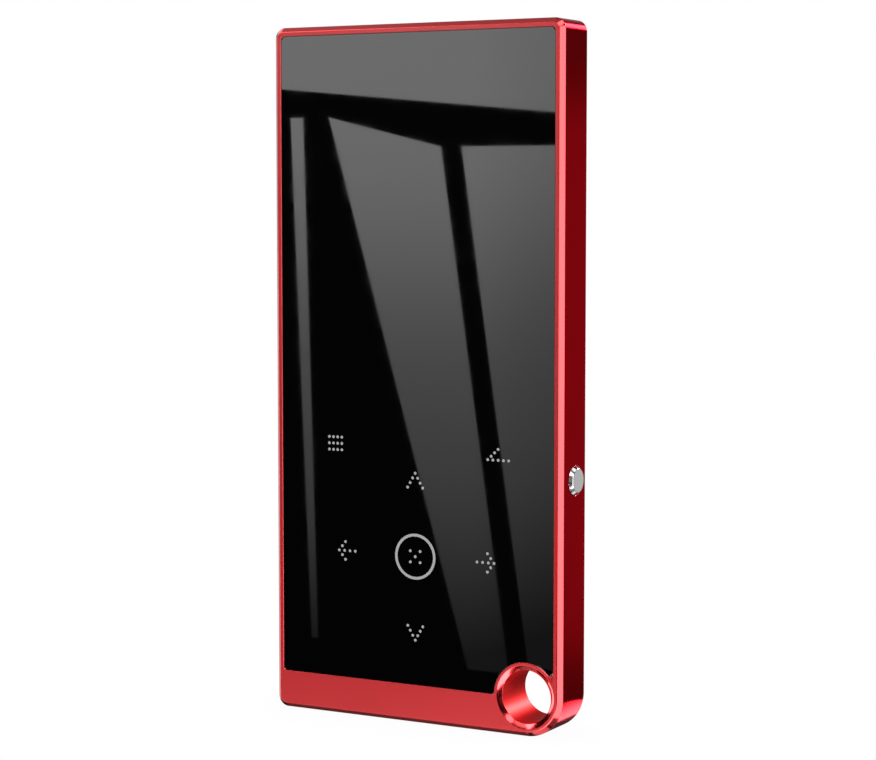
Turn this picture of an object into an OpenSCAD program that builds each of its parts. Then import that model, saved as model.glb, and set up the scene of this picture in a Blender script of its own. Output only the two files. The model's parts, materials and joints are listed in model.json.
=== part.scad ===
// Slim digital audio player, standing upright on its bottom end.
// Frame: +X to the player's right as seen from the front, +Y to the back, +Z up.
// The origin is at the middle of the bottom end, in the middle of the thickness.

/* [Body] */
// Width of the metal body
body_w = 43.2; // [42.8:0.1:43.6]
// Height of the metal body
body_h = 92; // [91:0.5:96]
// Thickness of the metal body
body_t = 7.4; // [7.2:0.1:7.8]
// Radius of the three plain corners
corner_r = 1.5; // [1.3:0.1:2.5]
// Width of the polished bevel round the front and back edges
bevel = 0.6; // [0.3:0.05:0.7]
// Width of the rim between the glass and the sides
rim = 1.15; // [1.1:0.05:1.3]
// Height of the chin below the glass
chin = 5.1; // [5:0.1:5.4]

/* [Lanyard hole] */
// Distance of the hole's centre from the right side and from the bottom end
lanyard_inset = 5.15; // [5.1:0.05:5.2]
// Radius of the hole
lanyard_r = 3.5; // [3:0.1:3.6]
// Width of the polished bevel at each mouth of the hole
lanyard_bevel = 0.65; // [0.4:0.05:0.7]
// Depth of that bevel
lanyard_bevel_depth = 0.38; // [0.3:0.02:0.7]
// Outer radius of the flat ring round the hole
lanyard_ring_r = 4.55; // [4.4:0.05:4.6]

/* [Glass] */
// Thickness of the front glass
glass_t = 0.8; // [0.7:0.05:0.9]
// How far the glass lies below the front edge
glass_recess = 0.1; // [0.05:0.01:0.15]
// Radius of one printed dot
dot_r = 0.19; // [0.12:0.01:0.25]
// Outer radius of the play ring
play_ring_r = 3.05; // [2.5:0.05:3.5]
// Line width of the play ring
play_ring_line = 0.36; // [0.2:0.02:0.5]

/* [Power button] */
// Radius of the button's cap
button_r = 1.9; // [1.6:0.05:1.9]
// Height of the button's axis above the bottom end
button_z = 33.2; // [32.8:0.1:33.6]
// Distance of the button's axis behind the middle of the thickness
button_y = 0.3; // [0.2:0.05:0.4]
// How far the cap stands out of the side
button_proud = 0.45; // [0.4:0.05:0.5]
// Travel of the button
button_travel = 0.3; // [0.2:0.05:0.3]

/* [Ports] */
// Distance of the headphone jack's axis to the left of the middle
jack_x = 12.5; // [12.3:0.1:12.7]
// Radius of the headphone jack's bore
jack_bore_r = 1.8; // [1.75:0.01:1.82]
// Width of the charging port's shell
usb_w = 8.94; // [8.9:0.01:9]
// Thickness of the charging port's shell
usb_t = 3.2; // [3.15:0.01:3.25]
// Height of the card slot's middle above the bottom end
card_z = 28; // [27.8:0.1:28.2]
// Travel of the card slider
card_travel = 1; // [0.8:0.1:1]

/* [Inside] */
// Width of the battery cell
battery_w = 34; // [30:0.5:34]
// Height of the battery cell
battery_h = 31; // [28:0.5:31]
// Thickness of the battery cell
battery_t = 2.8; // [2.4:0.1:2.8]
// Width of the display
display_w = 34; // [32:0.5:34]
// Height of the display
display_h = 45; // [42:0.5:45]

/* [Hidden] */
$fn = 48;

half_w = body_w / 2;
half_t = body_t / 2;
past = 1; // how far a cutter runs past the face that it cuts
lanyard_x = half_w - lanyard_inset;
lanyard_z = lanyard_inset;

// Outline of the glass and of the back cover
panel_x = half_w - rim;
panel_bottom = chin;
panel_top = body_h - rim;
panel_corner_r = 0.55;
heel_r = 0.3;
tip_r = 0.5;
panel_gap = 0.05;

// Layers from front to back
glass_front = -half_t + glass_recess;
glass_back = glass_front + glass_t;
seat_y = glass_back + 0.15;
ledge_back = -0.75;
cover_front = half_t - 0.8;
ledge_inset = 1.4;
wall_inset = 0.7;

board_back = 0.05;
display_z = 43.5;
optical_back = glass_back + 0.1;
lcd_back = optical_back + 1;
mid_plate_back = -0.35;
battery_front = -0.25;
battery_z = 46;

// Screws and the posts and tabs that they go into, as [x, z]
cover_posts = [[-18.4, 7.2], [18.4, 12], [-18.4, 88.8], [18.4, 88.8]];
cover_post_r = 1.55;
plate_tabs = [[-18.5, 46], [18.5, 46], [-18.5, 84], [18.5, 84]];
plate_tab_r = 1.3;
board_tabs = [[-18.3, 41.2], [18.3, 41.2], [-17.9, 11.4]];
board_tab_r = 1.5;
thread_r = 0.65;
thread_hole_r = 0.72;

// Printed symbols on the glass, as [x, z]
ink_t = 0.02;
play_centre = [0.13, 22.24];
menu_centre = [-12.1, 36.65];
back_apex = [10.9, 35.7];
up_apex = [0.13, 33.3];
down_apex = [0.13, 11.1];
left_tip = [-11.57, 22.27];
right_tip = [11.84, 22.25];
chevron_step = [0.38, 0.63];
shaft_step = 0.83;
head_step = [0.48, 0.6];
led_places = [
  menu_centre, [12.4, 36.3], [0.13, 32.4], [-10.4, 22.27], play_centre, [10.6, 22.25], [0.13, 12]
];

// Headphone jack, charging port and card socket
jack_nose_r = 2.6;
jack_back = 14.6;
port_pocket_z = 1.4;
fit_gap = 0.05;
usb_wall = 0.3;
usb_depth = 7.65;
mic_x = -7.1;
mic_y = 0.6;
socket_left = -19.3;
socket_right = -5;
socket_half = 7;
socket_back = 1.95;
slider_x = -12.5;
spring_x = slider_x + 3.55;
spring_len = 2.9;

// Speaker
speaker_z = 83.25;
speaker_front = -0.3;
speaker_back = 2.1;

// Points of an arc, the ends included
function arc(x, z, r, from, to, steps) =
  [for (i = [0:steps]) let(a = from + (to - from) * i / steps) [x + r * cos(a), z + r * sin(a)]];

// Points of an arc, the ends left out
function inner_arc(x, z, r, from, to, steps) =
  [for (i = [1:steps - 1]) let(a = from + (to - from) * i / steps) [x + r * cos(a), z + r * sin(a)]];

// The panel's outline: a rounded rectangle that goes round the lanyard hole's ring
function panel_outline(inset) =
  let(
    left = -panel_x + inset,
    right = panel_x - inset,
    bottom = panel_bottom + inset,
    top = panel_top - inset,
    r = max(panel_corner_r - inset, 0.2),
    ring = lanyard_ring_r + inset,
    heel_z = bottom + heel_r,
    heel_x = lanyard_x - sqrt(pow(ring + heel_r, 2) - pow(heel_z - lanyard_z, 2)),
    tip_x = right - tip_r,
    tip_z = lanyard_z + sqrt(pow(ring + tip_r, 2) - pow(tip_x - lanyard_x, 2)),
    heel_turn = atan2(heel_z - lanyard_z, heel_x - lanyard_x),
    tip_turn = atan2(tip_z - lanyard_z, tip_x - lanyard_x)
  )
  concat(
    arc(left + r, bottom + r, r, 180, 270, 8),
    arc(heel_x, heel_z, heel_r, 270, heel_turn + 180, 6),
    inner_arc(lanyard_x, lanyard_z, ring, heel_turn, tip_turn, 36),
    arc(tip_x, tip_z, tip_r, tip_turn + 180, 360, 8),
    arc(right - r, top - r, r, 0, 90, 8),
    arc(left + r, top - r, r, 90, 180, 8)
  );

// Rings of points round a path, each ring square to the path
function unit(v) = v / norm(v);
function path_way(p, i) = unit(p[min(i + 1, len(p) - 1)] - p[max(i - 1, 0)]);
function tube_points(p, r, sides, up) = [
  for (i = [0:len(p) - 1])
    let(across = unit(cross(path_way(p, i), up)), over = cross(across, path_way(p, i)))
      for (k = [0:sides - 1]) p[i] + r * (cos(360 * k / sides) * across + sin(360 * k / sides) * over)
];
function tube_faces(rings, sides) = concat(
  [[for (k = [0:sides - 1]) k]],
  [
    for (i = [0:rings - 2])
      for (k = [0:sides - 1])
        let(next = (k + 1) % sides)
          [i * sides + next, i * sides + k, (i + 1) * sides + k, (i + 1) * sides + next]
  ],
  [[for (k = [sides - 1:-1:0]) (rings - 1) * sides + k]]
);

// A smooth path through hand-set corners: each corner is cut twice
function cut_corners(p) = concat(
  [p[0]],
  [for (i = [0:len(p) - 2]) each [p[i] * 0.75 + p[i + 1] * 0.25, p[i] * 0.25 + p[i + 1] * 0.75]],
  [p[len(p) - 1]]
);

// Helpers: a block between two corners, rods along X, Y and Z, and a flat plate facing the front
module block(low, high) {
  translate(low) cube(high - low);
}

module rod_x(y, z, r, from, to) {
  translate([from, y, z]) rotate([0, 90, 0]) cylinder(h = to - from, r = r);
}

module rod_y(x, z, r, from, to) {
  translate([x, to, z]) rotate([90, 0, 0]) cylinder(h = to - from, r = r);
}

module plate(from, to) {
  translate([0, to, 0]) rotate([90, 0, 0]) linear_extrude(to - from) children();
}

module panel(from, to, inset) {
  plate(from, to) polygon(panel_outline(inset));
}

module tube(path, r, sides, up) {
  polyhedron(tube_points(path, r, sides, up), tube_faces(len(path), sides));
}

// A slot-shaped prism along Z, centred on the Z axis
module slot_prism(w, t, from, to) {
  translate([0, 0, from]) {
    translate([-(w - t) / 2, -t / 2, 0]) cube([w - t, t, to - from]);
    for (side = [-1, 1])
      translate([side * (w - t) / 2, 0, 0]) cylinder(h = to - from, r = t / 2);
  }
}

// Section through the slab between two bevelled edges
module slab_section(low, high) {
  polygon([
    [low + bevel, -half_t],
    [high - bevel, -half_t],
    [high, -half_t + bevel],
    [high, half_t - bevel],
    [high - bevel, half_t],
    [low + bevel, half_t],
    [low, half_t - bevel],
    [low, -half_t + bevel]
  ]);
}

module bar_along_x(from, to, low, high) {
  translate([to, 0, 0]) rotate([0, -90, 0]) linear_extrude(to - from) slab_section(low, high);
}

module bar_along_z(from, to, low, high) {
  translate([0, 0, from]) linear_extrude(to - from) slab_section(low, high);
}

module corner_puck(x, z, r) {
  translate([x, 0, z]) rotate([90, 0, 0]) rotate_extrude($fn = 96)
    polygon([
      [0, -half_t],
      [r - bevel, -half_t],
      [r, -half_t + bevel],
      [r, half_t - bevel],
      [r - bevel, half_t],
      [0, half_t]
    ]);
}

module slab() {
  side = half_w - corner_r;
  hidden = 10;
  corner_puck(-side, corner_r, corner_r);
  corner_puck(-side, body_h - corner_r, corner_r);
  corner_puck(side, body_h - corner_r, corner_r);
  corner_puck(lanyard_x, lanyard_z, lanyard_inset);
  bar_along_x(-side, lanyard_x, 0, body_h);
  bar_along_x(lanyard_x, side, hidden, body_h);
  bar_along_z(lanyard_z, body_h - corner_r, -half_w, half_w);
  bar_along_z(corner_r, lanyard_z, -half_w, hidden);
}

module lanyard_cutter() {
  mouth_r = lanyard_r + lanyard_bevel;
  translate([lanyard_x, 0, lanyard_z]) rotate([90, 0, 0]) rotate_extrude($fn = 96)
    polygon([
      [0, -half_t - past],
      [mouth_r, -half_t - past],
      [mouth_r, -half_t],
      [lanyard_r, -half_t + lanyard_bevel_depth],
      [lanyard_r, half_t - lanyard_bevel_depth],
      [mouth_r, half_t],
      [mouth_r, half_t + past],
      [0, half_t + past]
    ]);
}

module frame_inside() {
  panel(-half_t - past, seat_y, 0);
  panel(seat_y - past, ledge_back + past, ledge_inset);
  panel(ledge_back, cover_front + past, wall_inset);
  panel(cover_front, half_t + past, 0);
}

module button_way() {
  chamfer = 0.15;
  rod_x(button_y, button_z, button_r + fit_gap, half_w - 3, half_w + past);
  rod_x(button_y, button_z, button_r + 0.9, panel_x - 2, panel_x - wall_inset);
  translate([half_w - chamfer, button_y, button_z]) rotate([0, 90, 0])
    cylinder(h = 2 * chamfer, r1 = button_r + fit_gap, r2 = button_r + fit_gap + 2 * chamfer);
}

module port_ways() {
  pocket_top = 7;
  translate([-jack_x, 0, -past]) cylinder(h = port_pocket_z + 2 * past, r = jack_nose_r + fit_gap);
  block([-jack_x - 3.3, -2.4, port_pocket_z], [-jack_x + 3.3, 2.4, pocket_top]);
  slot_prism(usb_w + 0.2, usb_t + 0.2, -past, port_pocket_z + past);
  block([-5, -1.9, port_pocket_z], [5, 1.9, pocket_top]);
  translate([mic_x, mic_y, -past]) cylinder(h = pocket_top + past, r = 0.5, $fn = 24);
  block([-half_w - past, 0.3, card_z - 5.8], [-panel_x + 2, 1.7, card_z + 5.8]);
}

module frame() {
  color("firebrick") difference() {
    union() {
      difference() {
        slab();
        frame_inside();
      }
      for (p = cover_posts) rod_y(p[0], p[1], cover_post_r, ledge_back, cover_front);
      for (p = plate_tabs) rod_y(p[0], p[1], plate_tab_r, seat_y, ledge_back);
      for (p = board_tabs) rod_y(p[0], p[1], board_tab_r, seat_y, ledge_back);
    }
    lanyard_cutter();
    button_way();
    port_ways();
    for (p = cover_posts) rod_y(p[0], p[1], thread_hole_r, 0.4, cover_front + past);
    for (p = concat(plate_tabs, board_tabs)) rod_y(p[0], p[1], thread_hole_r, -2.3, ledge_back + past);
  }
}

module front_glass() {
  color("black") panel(glass_front, glass_back, panel_gap);
}

module glass_adhesive() {
  color("dimgray") difference() {
    panel(glass_back, seat_y, 2 * panel_gap);
    panel(glass_back - past, seat_y + past, ledge_inset - panel_gap);
  }
}

module dot(p) {
  rod_y(p[0], p[1], dot_r, glass_front - ink_t, glass_front, $fn = 24);
}

module chevron(apex, way) {
  dot(apex);
  for (side = [-1, 1])
    for (i = [1:3]) dot(apex + i * [side * chevron_step[0], way * chevron_step[1]]);
}

module arrow(tip, way) {
  for (i = [0:3]) dot(tip + [way * i * shaft_step, 0]);
  for (side = [-1, 1])
    for (i = [1:2]) dot(tip + i * [way * head_step[0], side * head_step[1]]);
}

module key_symbols() {
  color("gainsboro") {
    for (row = [-1:1])
      for (column = [-1.5:1.5]) dot(menu_centre + [column * 0.65, row * 0.85]);
    for (i = [0:4]) dot(back_apex + [i * 0.76, 0]);
    for (i = [1:3]) dot(back_apex + i * [0.5, 0.47]);
    chevron(up_apex, -1);
    chevron(down_apex, 1);
    arrow(left_tip, 1);
    arrow(right_tip, -1);
    dot(play_centre);
    for (turn = [45:90:315]) dot(play_centre + 1.05 * [cos(turn), sin(turn)]);
    difference() {
      rod_y(play_centre[0], play_centre[1], play_ring_r, glass_front - ink_t, glass_front, $fn = 96);
      rod_y(play_centre[0], play_centre[1], play_ring_r - play_ring_line, glass_front - past,
        glass_front + past, $fn = 96);
    }
  }
}

module touch_sensor_film() {
  color("goldenrod") difference() {
    panel(glass_back, seat_y, ledge_inset + 0.2);
    block([-half_w, glass_back - past, 40], [half_w, seat_y + past, body_h]);
  }
}

module optical_adhesive() {
  color("lightcyan") block([-display_w / 2 + 0.5, glass_back, display_z + 0.5],
    [display_w / 2 - 0.5, optical_back, display_z + display_h - 0.5]);
}

module lcd_panel() {
  color("darkslategray") block([-display_w / 2, optical_back, display_z],
    [display_w / 2, lcd_back, display_z + display_h]);
}

module display_backlight() {
  tray_back = lcd_back + 0.9;
  color("whitesmoke") difference() {
    block([-display_w / 2, lcd_back, display_z], [display_w / 2, tray_back, display_z + display_h]);
    block([-display_w / 2 + 1, tray_back - 0.2, display_z + 1],
      [display_w / 2 - 1, tray_back + past, display_z + display_h - 1]);
  }
}

module display_flex() {
  half = 5.5;
  sheet = 0.1;
  root = lcd_back - sheet / 2;
  plug = -1.25;
  color("orange") translate([half, 0, 0]) rotate([0, -90, 0]) linear_extrude(2 * half)
    polygon([
      [display_z, root],
      [display_z, root + sheet],
      [42.5, root + sheet],
      [40, plug + sheet],
      [39, plug + sheet],
      [39, plug],
      [40, plug],
      [42.5, root]
    ]);
}

module display_connector() {
  color("ivory") difference() {
    block([-6.5, -1.65, 36.6], [6.5, ledge_back, 39]);
    block([-6, -1.7, 36.9], [6, -1.45, 37.6]);
  }
}

module key_light_guide() {
  front = -2.45;
  back = -1.85;
  color("azure") difference() {
    union() {
      block([-16, front, 15], [16, back, 38.6]);
      block([-8.8, front, 10], [12, back, 15 + fit_gap]);
    }
    rod_y(lanyard_x, lanyard_z, lanyard_ring_r + 1.7, front - past, back + past);
  }
}

module key_leds() {
  color("lemonchiffon")
    for (p = led_places) block([p[0] - 0.5, -1.25, p[1] - 0.3], [p[0] + 0.5, ledge_back, p[1] + 0.3]);
}

// The mid plate carries the display in front and the battery behind
module mid_plate() {
  color("silver") difference() {
    block([-19.6, ledge_back, 43.1], [19.6, mid_plate_back, 90]);
    for (p = cover_posts) rod_y(p[0], p[1], cover_post_r + 0.25, -past, 0);
    for (p = plate_tabs) rod_y(p[0], p[1], thread_hole_r, -past, 0);
    for (x = [-12, 12])
      rod_y(x, speaker_z, 2, -past, 0);
  }
}

module pan_screw(p, seat, length) {
  head_r = 1;
  head_h = 0.5;
  difference() {
    union() {
      rod_y(p[0], p[1], head_r, seat, seat + head_h);
      rod_y(p[0], p[1], thread_r, seat - length, seat + head_h / 2);
    }
    for (turn = [0, 90])
      translate([p[0], seat + head_h, p[1]]) rotate([0, turn, 0]) cube([1.1, 0.5, 0.22], center = true);
  }
}

module mid_plate_screws() {
  color("lightsteelblue")
    for (p = plate_tabs) pan_screw(p, mid_plate_back, 1.8);
}

module main_board() {
  color("darkgreen") difference() {
    block([-19.4, ledge_back, 6.4], [19.4, board_back, 42.7]);
    for (p = cover_posts) rod_y(p[0], p[1], cover_post_r + 0.35, -past, past);
    rod_y(lanyard_x, lanyard_z, lanyard_ring_r + 1.05, -past, past);
    for (p = board_tabs) rod_y(p[0], p[1], thread_hole_r, -past, past);
    block([-jack_x - 3.2, -past, 6], [-jack_x + 3.2, past, jack_back + 0.2]);
    block([-4.7, -past, 6], [4.7, past, usb_depth + 0.2]);
    block([lanyard_x, -past, 6], [20, past, 12]);
    block([17.3, -past, button_z - 3.2], [20, past, button_z + 3.2]);
  }
}

module main_board_screws() {
  color("lightsteelblue")
    for (p = board_tabs) pan_screw(p, board_back, 2);
}

module chip(x, z, w, h, tall) {
  block([x - w / 2, board_back, z - h / 2], [x + w / 2, board_back + tall, z + h / 2]);
}

module processor_chip() {
  color("dimgray") chip(3, 22.5, 9, 9, 0.9);
}

module shield_can() {
  wall = 0.2;
  color("gainsboro") difference() {
    chip(3, 22.5, 14, 14, 1.5);
    translate([0, -wall, 0]) chip(3, 22.5, 14 - 2 * wall, 14 - 2 * wall, 1.5);
    for (column = [-1:1])
      for (row = [-1:1]) rod_y(3 + column * 4, 22.5 + row * 4, 0.5, board_back + 1, board_back + 2);
  }
}

module flash_chip() {
  color("dimgray") chip(0.5, 34, 8, 6.5, 0.8);
}

module audio_codec_chip() {
  color("dimgray") chip(-10.5, 17.6, 4, 4, 0.7);
}

module charging_chip() {
  color("dimgray") chip(8.2, 11.4, 3, 3, 0.75);
}

module crystal() {
  color("silver") chip(13, 25, 3.2, 2.5, 0.8);
}

module passive_components() {
  color("tan") {
    for (i = [0:5]) chip(-4 + i * 2.2, 13.4, 0.5, 1, 0.5);
    for (i = [0:4]) chip(12 + i * 1.1, 20.4, 0.5, 1, 0.5);
    for (i = [0:3]) chip(-17 + i * 1.6, 37.6, 1, 0.5, 0.45);
    chip(14.6, 16.6, 3, 3, 1.2);
    chip(7.6, 33, 2.2, 1.6, 0.9);
  }
}

module usb_port_shell() {
  color("silver") difference() {
    slot_prism(usb_w, usb_t, usb_wall, usb_depth);
    slot_prism(usb_w - 2 * usb_wall, usb_t - 2 * usb_wall, 0, usb_depth - usb_wall);
  }
}

module usb_port_tongue() {
  color("black") block([-3.35, -0.35, 0.9], [3.35, 0.35, usb_depth - usb_wall]);
}

// Places of the jack's contacts, as [side, z]
jack_contacts = [[-1, 3.6], [1, 6.4], [-1, 8.6], [1, 11.2]];

module headphone_jack_housing() {
  color("darkslategray") translate([-jack_x, 0, 0]) difference() {
    union() {
      translate([0, 0, 0.1]) cylinder(h = port_pocket_z + fit_gap, r = jack_nose_r);
      block([-3, -2.3, port_pocket_z + fit_gap], [3, 2.3, jack_back]);
    }
    cylinder(h = jack_back - 0.5, r = jack_bore_r);
    for (c = jack_contacts)
      block([min(0, c[0] * 4), -0.4, c[1] - 0.9], [max(0, c[0] * 4), 0.4, c[1] + 0.9]);
  }
}

module headphone_jack_contacts() {
  color("gold") translate([-jack_x, 0, 0])
    for (c = jack_contacts)
      translate([c[0] * 2.4, 0, c[1]]) cube([1.1, 0.7, 1.7], center = true);
}

module microphone() {
  color("silver") difference() {
    block([mic_x - 1.5, board_back, 7.1], [mic_x + 1.5, board_back + 1.1, 10.1]);
    translate([mic_x, mic_y, 7]) cylinder(h = 0.6, r = 0.3, $fn = 24);
  }
}

module card_socket_base() {
  color("dimgray") difference() {
    block([socket_left, board_back, card_z - socket_half], [socket_right, socket_back - 0.2,
      card_z + socket_half]);
    block([socket_left - past, board_back + 0.35, card_z - socket_half + 1],
      [socket_right - 1, socket_back, card_z + socket_half - 0.8]);
  }
}

module card_socket_cover() {
  skirt = 0.2;
  low = card_z - socket_half;
  high = card_z + socket_half;
  color("silver") difference() {
    block([socket_left, board_back + fit_gap, low - skirt], [socket_right, socket_back, high + skirt]);
    block([socket_left - past, board_back - past, low], [socket_right + past, socket_back - 0.2, high]);
    block([-17, socket_back - past, card_z - 3], [-13, socket_back + past, card_z + 3]);
  }
}

module card_contacts() {
  color("gold")
    for (i = [0:7])
      block([-16, board_back + 0.35, card_z - 4.9 + i * 1.1], [-13.6, board_back + 0.45,
        card_z - 4.3 + i * 1.1]);
}

// The slider catches the card's corner, and moves in by card_travel as the card is pushed
module card_slider() {
  front = board_back + 0.45;
  back = socket_back - 0.35;
  high = card_z + socket_half - 1;
  color("ivory") {
    block([slider_x, front, high - 1.8], [slider_x + 3.5, back, high]);
    block([slider_x + 2.4, front, card_z + 0.5], [slider_x + 3.5, back, high - 1.7]);
  }
}

module card_slider_spring() {
  turns = 6;
  per_turn = 11;
  wire = 0.09;
  coil = 0.42;
  helix = [
    for (i = [0:turns * per_turn])
      let(a = 360 * i / per_turn)
        [spring_x + wire + (spring_len - 2 * wire) * i / (turns * per_turn), 1.05 + coil * cos(a),
          card_z + 5.1 + coil * sin(a)]
  ];
  color("silver") tube(helix, wire, 6, [1, 0, 0]);
}

module speaker_frame() {
  color("dimgray") difference() {
    block([-7.5, speaker_front, speaker_z - 4.75], [7.5, speaker_back, speaker_z + 4.75]);
    block([-6.8, speaker_front + 0.4, speaker_z - 4.05], [6.8, speaker_back + past, speaker_z + 4.05]);
  }
}

module speaker_magnet() {
  color("silver") block([-4.2, speaker_front + 0.4, speaker_z - 1.8], [4.2, speaker_front + 1.5,
    speaker_z + 1.8]);
}

// The diaphragm with its voice coil, clear of the magnet and of the frame all round
module speaker_diaphragm() {
  face = speaker_back - 0.4;
  color("ivory") {
    block([-6.5, face, speaker_z - 3.75], [6.5, face + 0.15, speaker_z + 3.75]);
    difference() {
      block([-5.1, speaker_front + 0.8, speaker_z - 2.7], [5.1, face + 0.05, speaker_z + 2.7]);
      block([-4.5, speaker_front, speaker_z - 2.1], [4.5, face, speaker_z + 2.1]);
    }
  }
}

module speaker_gasket() {
  color("black") difference() {
    block([-7.5, speaker_back, speaker_z - 4.75], [7.5, cover_front - 0.15, speaker_z + 4.75]);
    block([-6.5, 0, speaker_z - 3.75], [6.5, half_t, speaker_z + 3.75]);
  }
}

module speaker_mesh() {
  color("gray") block([-7.5, cover_front - 0.15, speaker_z - 4.75], [7.5, cover_front,
    speaker_z + 4.75]);
}

// The leads run down beside the battery to the board's upper right corner
module speaker_leads() {
  color("dimgray")
    for (lane = [0, 1])
      tube(
        cut_corners(cut_corners([
          [7.5, 1, 81 + 0.8 * lane],
          [12, 1, 81 + 0.8 * lane],
          [17 + 0.6 * lane, 1, 80.4 + 0.8 * lane],
          [17.8 + 0.7 * lane, 1, 79 + 0.8 * lane],
          [17.8 + 0.7 * lane, 1, 76],
          [17.8 + 0.7 * lane, 1, 48],
          [17.8 + 0.7 * lane, 1, 46],
          [14.5 + 0.8 * lane, 0.5, 42.8],
          [14.5 + 0.8 * lane, 0.3, 40.5]
        ])),
        0.22, 8, [0, 1, 0]
      );
}

module battery_cell() {
  edge_r = battery_t / 2;
  middle = battery_front + edge_r;
  color("lightgray") {
    block([-battery_w / 2 + edge_r, battery_front, battery_z], [battery_w / 2 - edge_r,
      battery_front + battery_t, battery_z + battery_h]);
    for (side = [-1, 1])
      translate([side * (battery_w / 2 - edge_r), middle, battery_z])
        cylinder(h = battery_h, r = edge_r);
  }
}

module battery_adhesive() {
  color("white") block([-8, mid_plate_back, battery_z + 4], [8, battery_front, battery_z + 26]);
}

module battery_protection_board() {
  color("seagreen") {
    block([-9, 0.4, battery_z - 1.8], [9, 0.8, battery_z]);
    block([-3, 0.75, battery_z - 1.6], [2, 1.6, battery_z - 0.2]);
  }
}

module battery_lead(start, finish, drop) {
  tube(
    cut_corners(cut_corners([
      [start, 1.05, battery_z - 1.4],
      [start, 1.05, battery_z - 2.6],
      [start + 0.4, 0.9, 42.6 - drop],
      [finish, 0.7, 41.6 - drop],
      [finish, 0.65, 40]
    ])),
    0.25, 8, [0, 1, 0]
  );
}

module battery_lead_red() {
  color("red") battery_lead(6.2, 10.4, 0);
}

module battery_lead_black() {
  color("black") battery_lead(4.8, 9.4, 0.7);
}

module battery_header() {
  color("ivory") difference() {
    block([8, board_back, 36.4], [11.8, board_back + 1.2, 38.8]);
    block([8.4, board_back + 0.2, 38], [11.4, board_back + 1, 39]);
  }
}

module battery_plug() {
  color("whitesmoke") block([8.5, board_back + 0.25, 38.05], [11.3, board_back + 0.95, 40]);
}

module power_button() {
  flange_x = half_w - 2.4;
  edge = 0.35;
  color("silver") translate([0, button_y, button_z]) rotate([0, 90, 0]) rotate_extrude($fn = 96)
    polygon([
      [0, 17.8],
      [1.1, 17.8],
      [1.1, flange_x],
      [button_r + 0.6, flange_x],
      [button_r + 0.6, panel_x - wall_inset - fit_gap],
      [button_r, panel_x - wall_inset - fit_gap],
      [button_r, half_w + button_proud - edge],
      [button_r - edge, half_w + button_proud],
      [0, half_w + button_proud]
    ]);
}

module power_switch_body() {
  color("gainsboro") difference() {
    block([15, board_back, button_z - 1.9], [17.4, board_back + 1.5, button_z + 1.9]);
    block([15.9, board_back + 0.25, button_z - 0.8], [17.5, board_back + 1.25, button_z + 0.8]);
  }
}

module power_switch_plunger() {
  color("black") block([16.3, board_back + 0.35, button_z - 0.7], [17.77, board_back + 1.15,
    button_z + 0.7]);
}

module back_cover() {
  color("firebrick") difference() {
    panel(cover_front, half_t, panel_gap);
    for (p = cover_posts) {
      rod_y(p[0], p[1], 0.8, cover_front - past, half_t + past);
      translate([p[0], half_t + 0.1, p[1]]) rotate([90, 0, 0]) cylinder(h = 0.7, r1 = 1.5, r2 = 0.8);
    }
    for (column = [-2.5:2.5])
      for (row = [-1:1])
        rod_y(column * 2, speaker_z + row * 2, 0.45, cover_front - past, half_t + past, $fn = 24);
  }
}

module back_cover_screws() {
  head_top = half_t - 0.05;
  color("lightsteelblue")
    for (p = cover_posts)
      difference() {
        union() {
          rod_y(p[0], p[1], thread_r, 0.7, head_top - 0.3);
          translate([p[0], head_top, p[1]]) rotate([90, 0, 0]) cylinder(h = 0.6, r1 = 1.25, r2 = thread_r);
        }
        for (turn = [0, 90])
          translate([p[0], head_top, p[1]]) rotate([0, turn, 0]) cube([1.3, 0.6, 0.24], center = true);
      }
}

frame();
front_glass();
glass_adhesive();
key_symbols();
touch_sensor_film();
optical_adhesive();
lcd_panel();
display_backlight();
display_flex();
display_connector();
key_light_guide();
key_leds();
mid_plate();
mid_plate_screws();
main_board();
main_board_screws();
processor_chip();
shield_can();
flash_chip();
audio_codec_chip();
charging_chip();
crystal();
passive_components();
usb_port_shell();
usb_port_tongue();
headphone_jack_housing();
headphone_jack_contacts();
microphone();
card_socket_base();
card_socket_cover();
card_contacts();
card_slider();
card_slider_spring();
speaker_frame();
speaker_magnet();
speaker_diaphragm();
speaker_gasket();
speaker_mesh();
speaker_leads();
battery_cell();
battery_adhesive();
battery_protection_board();
battery_lead_red();
battery_lead_black();
battery_header();
battery_plug();
power_button();
power_switch_body();
power_switch_plunger();
back_cover();
back_cover_screws();
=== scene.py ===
"""Looks of the slim digital audio player: camera, studio, metal body, glass, button and the parts inside."""
import json
import math

import bmesh
import bpy
from mathutils import Matrix, Vector


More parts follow.
